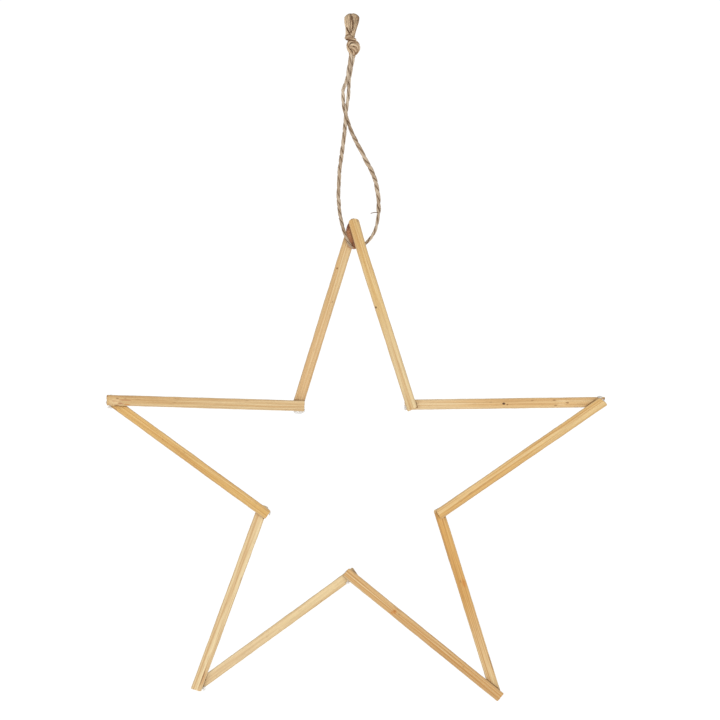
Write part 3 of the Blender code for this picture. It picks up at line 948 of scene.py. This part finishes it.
# Each strand's way through the knot, in millimetres across, in depth and up from the hang point
KNOT_ROUTES = (
    (  # the outer turn, up the left side, over the top and down the right
        (1.5, -0.9, 42.3), (1.5, -1, 44.2), (0.8, -1.1, 46), (0.2, -0.9, 47.9),
        (0.2, -0.9, 50), (1.2, -1.2, 51.4), (3.2, -1.2, 51.6), (5, -0.8, 50.8),
        (6.2, -0.8, 49), (6.2, -0.9, 46.9), (5.3, -0.8, 45.2), (4.2, 0, 44.2),
        (2.8, 1.3, 44.1), (1.4, 1.9, 45.4), (0.9, 1.8, 47.4), (1.7, 1.7, 49.4), (2.6, 1.2, 51.2),
        (2.7, 0.5, 52.8), (2.8, 0.3, 55),
    ),
    (  # the inner turn
        (3.7, 0.7, 42.3), (3.2, 0.7, 44), (2.3, 0.5, 45.8), (1.6, -0.5, 48.2), (2.4, -1.9, 49.5),
        (3.8, -2.1, 49.3), (5, -1.9, 48.2), (5.1, -1.8, 46.5), (4.4, -1.5, 45.2),
        (3.1, -0.4, 44.5), (1.8, 0.9, 44.9), (0.8, 1.2, 46.8), (0.5, 1.1, 49), (0.7, 0.7, 51.2),
        (0.5, 0.1, 53), (0.4, -0.1, 55),
    ),
    (  # the last turn, across the front
        (0.9, 0.2, 48.9), (1.3, -1.1, 48.3), (2.4, -2.1, 47.7), (3.5, -2.5, 46.7),
        (4, -2.2, 45.4), (3.6, -1, 44.4), (2.9, 0.5, 44.4),
    ),
    (  # the turn round the neck, with its end sticking out on the left
        (-1.9, -1.3, 53.6), (-0.9, -2, 53.6), (0.8, -2.5, 53.6), (2.4, -2.3, 53.3),
        (3.7, -1.4, 52.8), (4.1, 0.1, 52.8), (3.2, 1.6, 53.1), (1.5, 2.1, 53.7), (-0.3, 1.6, 54.4),
        (-1, 0.1, 54.8), (-0.5, -1.5, 54.9), (0.7, -1.9, 55), (1.7, -1.2, 54.6),
    ),
)
KNOT_THICKNESS = (0.97, 0.95, 0.9, 0.82)  # in twine diameters, as the knot is pulled tight
# The inner turn is painted paler, as a highlight.
KNOT_TONES = (0.1, 0.25, 0.1, -0.5)  # how much paler each strand is
# Thin dark tubes that stand in for lines of shadow: under the turn round the neck, across the left
# end's foot, and between the two ends
SHADOW_FIBRES = (
    ((-1.3, -1.9, 52.6), (0.4, -2.8, 52.4), (2.4, -2.8, 52.2), (4.4, -1.8, 51.7)),
    ((-0.9, -1.6, 59.8), (-0.3, -1.9, 58.3), (0.5, -1.9, 57), (1.2, -1.7, 55.9)),
    ((2.3, -1.9, 66.6), (2.5, -2, 64.4), (2.8, -1.9, 60.8), (1.9, -1.6, 56.4)),
)
SHADOW_FIBRE_RADIUS = 0.4 * MM
KNOT_HEART = (3, 0, 47.4)
KNOT_HEART_SIZES = np.array((2.9, 1.6, 3.2)) * MM
# Painted shade: a strand is darkest this near to another one's centreline, and plain this much
# further out
CREVICE, CREVICE_EDGE = 0.9 * MM, 0.55 * MM

natural_jute = jute_material("Natural jute")
warm_jute = jute_material("Warm jute", WARM_TINTS)
rng = np.random.default_rng(500)
knot_lines = [smooth_line(route, TWINE_STATION) for route in KNOT_ROUTES]
knot_parts = [
    strand_parts(line, rng, thickness * TWINE_DIAMETER, 1.7 * index)
    for index, (line, thickness) in enumerate(zip(knot_lines, KNOT_THICKNESS))
]
# The crushed middle of the knot, a lump painted dark as the shade that shows between its turns
heart_points, heart_faces = oval(Vector(KNOT_HEART) * MM, KNOT_HEART_SIZES, 0, rng)
heart_masks = {
    "lie": np.array(heart_points),
    "groove_shade": np.full(len(heart_points), 0.9),
    "tone": np.full(len(heart_points), -0.7),
}
knot_parts.append((heart_points, heart_faces, heart_masks))
# Painted shadow: each tube is coloured as deep shade
for route in SHADOW_FIBRES:
    fibre_line = smooth_line(route, TWINE_STATION)
    points, faces, masks = hair_parts(fibre_line, SHADOW_FIBRE_RADIUS, rng, 8)
    masks["tone"][:] = -1.6
    masks["groove_shade"][:] = 1.6
    knot_parts.append((points, faces, masks))
all_lines = np.concatenate(knot_lines)
line_of_point = np.repeat(np.arange(len(knot_lines)), [len(line) for line in knot_lines])
for own, (points, faces, masks) in enumerate(knot_parts[:len(knot_lines)]):
    # Where another strand of the knot lies close, painted shade darkens the crevices between them
    others = all_lines[line_of_point != own]
    near = np.linalg.norm(np.array(points)[:, None] - others[None], axis=2).min(1)
    crevice = 1 - smooth_step((near - CREVICE) / CREVICE_EDGE)
    masks["groove_shade"] = np.maximum(masks["groove_shade"], 1.5 * crevice)
    masks["tone"] = masks["tone"] + KNOT_TONES[own]
knot = mesh_object("jute_knot", *joined(knot_parts))
knot.data.materials.append(warm_jute)
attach(knot, "root")
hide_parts("twine_knot")

# The frayed ends
# Above the knot the twine was cut, and both ends have come untwisted into loose brushes of fibre.
# Each fibre is its own thin tube, and they stop at uneven heights.

# Millimetres: middle of the foot and of the top (across, depth, up), and radius at each. Then the
# shares of its height between which a brush opens out, and how pale each tuft is: the middle one,
# then round from the right by way of the back
# The darkest tufts, on the right and where the two brushes meet, are painted shade.
Fray = namedtuple("Fray", "side foot top foot_radius top_radius opens tones")
FRAYED_ENDS = (
    Fray(
        "left", (-0.05, -0.25, 54.2), (-0.1, -0.4, 68.4), 1.45, 2.4, (0.38, 0.88),
        (-0.8, -1.6, 0.0, 0.2, 1.2, 1.3, 0.5),
    ),
    Fray(
        "right", (2.4, 0.2, 54.2), (4.2, 0.2, 68.4), 1.45, 2.75, (0.05, 0.88),
        (-0.8, -1.6, 0.1, 0.0, -1.6, 1.3, -0.3),
    ),
)
FRAY_TOP = (2.4, 68.7)  # where the two brushes together are highest: across and up
TOP_DROP = 2 / 4.5**2  # the top curves down by this times the square of the way to the side
FIBRES_PER_TUFT = 90
TUFT_PLACE = 0.56  # how far out the outer tufts stand, as a share of the brush
TUFT_FOOT, TUFT_TOP = 0.5, 0.42  # the radius of a tuft, as a share of the brush
BRUSH_DEPTH = 0.85  # how deep a brush is, as a share of its width
FIBRE_WAVER = 0.08  # millimetres
FIBRE_RADIUS = 0.1 * MM
FRAY_STATION = 1.1 * MM


def frayed_end(fray, rng):
    """Tufts of fibre that fill a round foot and spread apart towards their tips."""
    foot, top = np.array(fray.foot), np.array(fray.top)
    share = np.linspace(0, 1, 11)
    begin, finish = fray.opens
    opening = smooth_step((share - begin) / (finish - begin))
    opening = fray.foot_radius + (fray.top_radius - fray.foot_radius) * opening
    parts = []
    for tuft, tuft_tone in enumerate(fray.tones):
        out = TUFT_PLACE if tuft else 0
        tuft_angle = math.pi / 3 * (tuft - 1) + rng.uniform(-0.15, 0.15) - 0.3 * share
        for _ in range(FIBRES_PER_TUFT):
            spread, angle = math.sqrt(rng.uniform(0, 1)), rng.uniform(0, 2 * math.pi)
            tight = TUFT_FOOT + (TUFT_TOP - TUFT_FOOT) * share
            x = out * np.cos(tuft_angle) + tight * spread * math.cos(angle)
            y = out * np.sin(tuft_angle) + tight * spread * math.sin(angle)
            outer = min(1, math.hypot(x[-1], y[-1]))
            line = foot + (top - foot) * share[:, None]
            line[:, 0] += opening * x + FIBRE_WAVER * wander(rng, share, 0.3)
            line[:, 1] += BRUSH_DEPTH * opening * y + FIBRE_WAVER * wander(rng, share, 0.3)
            height = FRAY_TOP[1] - TOP_DROP * (line[-1, 0] - FRAY_TOP[0]) ** 2
            height -= 0.5 * outer**3 + 0.6 * rng.uniform(0, 1) ** 2
            line[:, 2] = foot[2] + (height - foot[2]) * share
            line = smooth_line(line, FRAY_STATION)
            hair = hair_parts(line, FIBRE_RADIUS * rng.uniform(0.75, 1.3), rng, taper=0.25)
            masks = hair[-1]
            masks["lie"][:, 1:] = ((x[-1] + 0.3 * y[-1]) * 2 * MM, tuft)
            masks["tone"][:] = tuft_tone + rng.normal(0, 0.12)
            # Painted shade darkens the fibres deep inside a brush
            masks["groove_shade"][:] = 0.9 * (1 - outer) ** 1.5
            parts.append(hair)
    return mesh_object(f"jute_end_{fray.side}", *joined(parts))


combed_jute = jute_material("Combed jute", WARM_TINTS, specks=0.0, bumpy=0.2, fine=0.25)
ends = []
for fray in FRAYED_ENDS:
    end_piece = frayed_end(fray, np.random.default_rng(520 + len(ends)))
    end_piece.data.materials.append(combed_jute)
    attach(end_piece, "root")
    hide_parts(f"twine_end_{fray.side}")
    ends.append(end_piece)

# The twine loop and its stray fibres
# One length of twine hangs from the knot, passes through the star round the crossing of the top
# point, and goes back up. The strands cross where the loop opens. Short hairs stand off it.

STRAND_OFFSET = 1.2  # millimetres in depth between the star's middle and a strand that lies on it
# Millimetres across, share of that offset in depth, and millimetres up from the hang point
LEFT_STRAND = (
    (3.3, 0.6, 45), (3.3, 0.85, 42.9), (2.3, 1, 38.4), (1.4, 1, 33.6), (0.7, 1, 29.4),
    (0.4, 0.75, 25.8), (0.4, 0.25, 22.2), (0.1, -0.35, 18), (-0.6, -0.85, 14.1),
    (-1, -1.03, 10.8), (-1.4, -1.03, 7.2), (-1.7, -0.75, 3.6), (-2, -0.25, -1.8),
    (-2.8, 0, -8.4), (-4, 0.1, -17.4), (-5.1, 0.05, -25.8), (-5.6, -0.05, -34.2),
    (-5.8, -0.1, -42), (-5.2, -0.2, -49.2),
)
THROUGH_STAR = (
    (-4.3, -0.5, -55), (-2.8, -1, -61.2), (-1, -1.05, -66.4), (0.9, -1.05, -70.2),
    (2.3, -0.8, -71.9), (3.7, 0, -72.2), (5, 0.9, -72), (7.1, 1.08, -71.2),
    (9.9, 1.05, -69.9), (12.4, 0.75, -67.5), (14.6, 0.35, -64.8), (16.4, 0.1, -61.3),
)
RIGHT_STRAND = (
    (17.6, 0, -55.8), (18.35, -0.05, -49.8), (18.1, -0.1, -42.6), (17, -0.1, -34.5),
    (14.5, -0.05, -27), (11.3, 0, -20.7), (7.7, 0, -13.8), (4.1, 0.05, -7.2), (1.9, 0.25, -1.9),
    (0.6, 0.6, 1.5), (-0.5, 0.9, 4.9), (-1.5, 1.03, 8.4), (-2.4, 1, 11.7), (-2.9, 0.65, 15.3),
    (-3, 0.1, 18.9), (-3, -0.5, 22.3), (-1.8, -0.9, 25.6), (-0.5, -1, 29.7), (0.2, -1, 33.9),
    (0.8, -1, 38.1), (1.5, -0.9, 42.9), (1.8, -0.6, 45),
)
# Where the twine is pulled thin round the star's point, how much thinner, and over what reach
TIGHT_PLACE, TIGHT_SQUEEZE, TIGHT_REACH = (0.8, -0.6, -69.5), 0.24, 9 * MM
DOUBLED_HEIGHT = 5 * MM  # above it, the two strands lie together and are paler
# How thick the strand is, in twine diameters, and at which heights: up its left and its right side
LEFT_THICKNESS = ((-60, 1.02), (-30, 1.06), (0, 1.02), (20, 0.95), (45, 0.95))
RIGHT_THICKNESS = (
    (-72, 0.86), (-53, 0.88), (-50, 1.14), (-20, 1.1), (0, 1.04), (20, 0.9), (45, 0.95)
)
STRAY_FIBRES = 170
STRAY_RADIUS = 0.032 * MM
STRAY_STATION = 0.4 * MM
LOOSE_FIBRE = (
    (18.9, -0.6, -51.2), (17.6, -1.3, -51.1), (15.9, -1.6, -51.0), (14.6, -1.7, -51.3),
    (13.4, -1.7, -51.6),
)
LOOSE_RADIUS = 0.28 * MM


def stray_fibre(line, place, rng, reach):
    """A hair that leaves the strand at a place on its line and curls away."""
    ahead, aside, other = [way[2] for way in line_frames(line[place - 2:place + 3])]
    angle = rng.uniform(0, 2 * math.pi)
    out = math.cos(angle) * aside + math.sin(angle) * other
    across = np.cross(ahead, out)
    way = rng.choice((-1, 1))
    length = rng.uniform(1.2, 3.6) * MM
    lift = rng.uniform(0.15, 0.75)
    curl = rng.uniform(-0.6, 0.6)
    route = [
        line[place] + out * (0.6 * reach + length * lift * share**1.6)
        + ahead * way * length * share + across * curl * length * share**2
        for share in np.linspace(0, 1, 5)
    ]
    radius = STRAY_RADIUS * rng.uniform(0.7, 1.4)
    return hair_parts(smooth_line(np.array(route) / MM, STRAY_STATION), radius, rng, 4, 0.6)


route = [(x, y * STRAND_OFFSET, z) for x, y, z in LEFT_STRAND + THROUGH_STAR + RIGHT_STRAND]
loop_line = smooth_line(route, TWINE_STATION)

rng = np.random.default_rng(600)
parts = []
for line, count, reach in (
    (loop_line, STRAY_FIBRES, TWINE_DIAMETER / 2),
    (knot_lines[0], STRAY_FIBRES // 4, TWINE_DIAMETER),
):
    for _ in range(count):
        parts.append(stray_fibre(line, int(rng.integers(4, len(line) - 4)), rng, reach))
stray_fibres = mesh_object("jute_stray_fibres", *joined(parts))
stray_fibres.data.materials.append(natural_jute)
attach(stray_fibres, "root")

loose_line = smooth_line(LOOSE_FIBRE, STRAY_STATION)
loose_fibre = mesh_object("jute_loose_fibre", *hair_parts(loose_line, LOOSE_RADIUS, rng, 6, 0.25))
loose_fibre.data.materials.append(jute_material("Dark jute fibre", darker=0.75))
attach(loose_fibre, "root")

tight_place = np.linalg.norm(loop_line - np.array(TIGHT_PLACE) * MM, axis=1)
squeeze = 1 - TIGHT_SQUEEZE * smooth_step(1.5 - tight_place / TIGHT_REACH)
lowest = int(np.argmin(loop_line[:, 2]))
for side, stretch in (
    (LEFT_THICKNESS, slice(None, lowest)), (RIGHT_THICKNESS, slice(lowest, None))
):
    heights, thickness = np.array(side).T
    squeeze[stretch] *= np.interp(loop_line[stretch, 2], heights * MM, thickness)
points, faces, masks = strand_parts(loop_line, rng, squeeze=squeeze, uneven_turn=1.0)
# Painted shade between the plies is deeper in some places than in others
apart = 0.95 + 0.35 * wander(rng, np.arange(len(loop_line)) * TWINE_STATION, 11 * MM)
masks["groove_shade"] = masks["groove_shade"] * np.tile(np.repeat(apart, PLY_SIDES), 2)
height = np.array(points)[:, 2] - DOUBLED_HEIGHT
masks["tone"] = masks["tone"] + 1.2 * smooth_step(height / (15 * MM))
loop = mesh_object("jute_loop", points, faces, masks)
loop.data.materials.append(natural_jute)
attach(loop, "root")
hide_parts("twine_loop")

# The camera
# It looks straight at the star's front from far away through a long lens, as the photograph does,
# so that nothing leans.

CAMERA_DISTANCE = 3.0
FRAME_WIDTH = 0.432  # what the picture shows across at the star
PICTURE_MIDDLE = (7.14 * MM, -139.5 * MM)  # across and up from the hang point
SENSOR = 36.0
lens = bpy.data.cameras.new("Long lens")
lens.sensor_width = SENSOR
lens.lens = SENSOR * CAMERA_DISTANCE / FRAME_WIDTH
lens.clip_start, lens.clip_end = 0.05, 100
camera = scene_object("Camera", lens)
camera.location = (PICTURE_MIDDLE[0], -CAMERA_DISTANCE, PICTURE_MIDDLE[1])
camera.rotation_euler = (math.pi / 2, 0, 0)
bpy.context.scene.camera = camera

# Floor and light
# A plain white floor far under the star, a white surround, and large soft lamps in front.

FLOOR_HEIGHT = -0.75
floor = scene_object("floor", bpy.data.meshes.new("floor"))
floor.data.from_pydata([(-30, -30, 0), (30, -30, 0), (30, 30, 0), (-30, 30, 0)], [], [(0, 1, 2, 3)])
floor.location.z = FLOOR_HEIGHT
white, white_shader = new_material("White floor")
white_shader.principled(
    ("Base Color", (0.9, 0.9, 0.9, 1)), ("Roughness", 0.9),
    ("Emission Color", (1, 1, 1, 1)), ("Emission Strength", 0.6),
)
floor.data.materials.append(white)

world = bpy.data.worlds.new("White surround")
bpy.context.scene.world = world
world.use_nodes = True
surround = Shader(world.node_tree)
seen = surround.add("ShaderNodeBackground", ("Color", (1, 1, 1, 1)), ("Strength", 1.05))
lit = surround.add("ShaderNodeBackground", ("Color", (1, 1, 1, 1)), ("Strength", 0.5))
ray = surround.add("ShaderNodeLightPath", output="Is Camera Ray").node.outputs
straight = surround.math("MAXIMUM", ray["Is Camera Ray"], ray["Is Transmission Ray"])
surround_mix = surround.add("ShaderNodeMixShader", (0, straight), (1, lit), (2, seen))
world.node_tree.links.new(surround_mix, world.node_tree.nodes["World Output"].inputs["Surface"])

for name, place, size, power in (
    ("Left lamp", (-1.5, -2.2, 1.3), 1.6, 19),
    ("Right lamp", (1.7, -2.4, 0.5), 1.6, 13),
    ("Low lamp", (0.2, -2.6, -0.9), 1.4, 4.5),
):
    lamp_data = bpy.data.lights.new(name, "AREA")
    lamp_data.size = size
    lamp_data.energy = power
    lamp = scene_object(name, lamp_data)
    lamp.location = place
    aim = Vector((0, 0, -0.15)) - Vector(place)
    lamp.rotation_euler = aim.to_track_quat("-Z", "Y").to_euler()

bpy.context.scene.view_settings.view_transform = "Standard"
bpy.context.scene.view_settings.look = "None"
